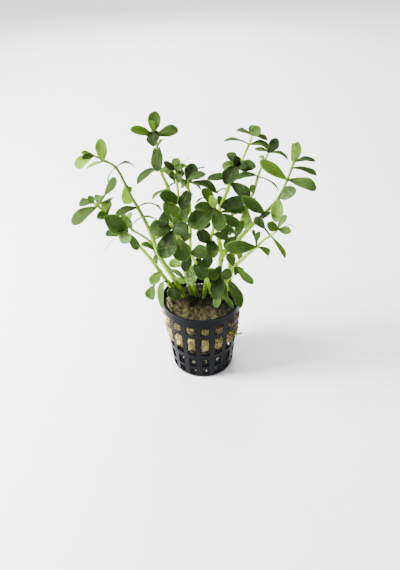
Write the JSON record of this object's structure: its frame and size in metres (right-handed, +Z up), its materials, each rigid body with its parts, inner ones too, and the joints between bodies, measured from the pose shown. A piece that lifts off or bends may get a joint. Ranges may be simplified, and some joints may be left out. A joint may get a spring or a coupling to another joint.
{
  "type": "potted aquarium plant",
  "caption": "Bunch of bacopa monnieri, upright fleshy-leaved shoots in a rockwool plug, in a small tapered black net pot with rows of windows.",
  "frame": {"origin": "centre of the pot's flat underside", "axes": "+Z up along the pot's axis, the front of the pot towards -Y, +X to the right seen from the front"},
  "size_m": [0.1357, 0.0844, 0.1637],
  "materials": {
    "pot": "satin black injection-moulded plastic",
    "rockwool": "fibrous tan mineral wool, darker where damp",
    "leaf": "fleshy green leaves with a soft shine, paler below"
  },
  "bodies": {
    "root": {"net_pot": "pot", "rockwool_plug": "rockwool", "far_left_shoot": "leaf", "left_low_shoot": "leaf", "left_back_shoot": "leaf", "tallest_shoot": "leaf", "centre_left_shoot": "leaf", "centre_shoot": "leaf", "front_left_shoot": "leaf", "centre_front_shoot": "leaf", "right_centre_shoot": "leaf", "right_back_shoot": "leaf", "right_tall_shoot": "leaf", "right_low_shoot": "leaf", "short_front_shoot": "leaf"}
  },
  "joints": []
}
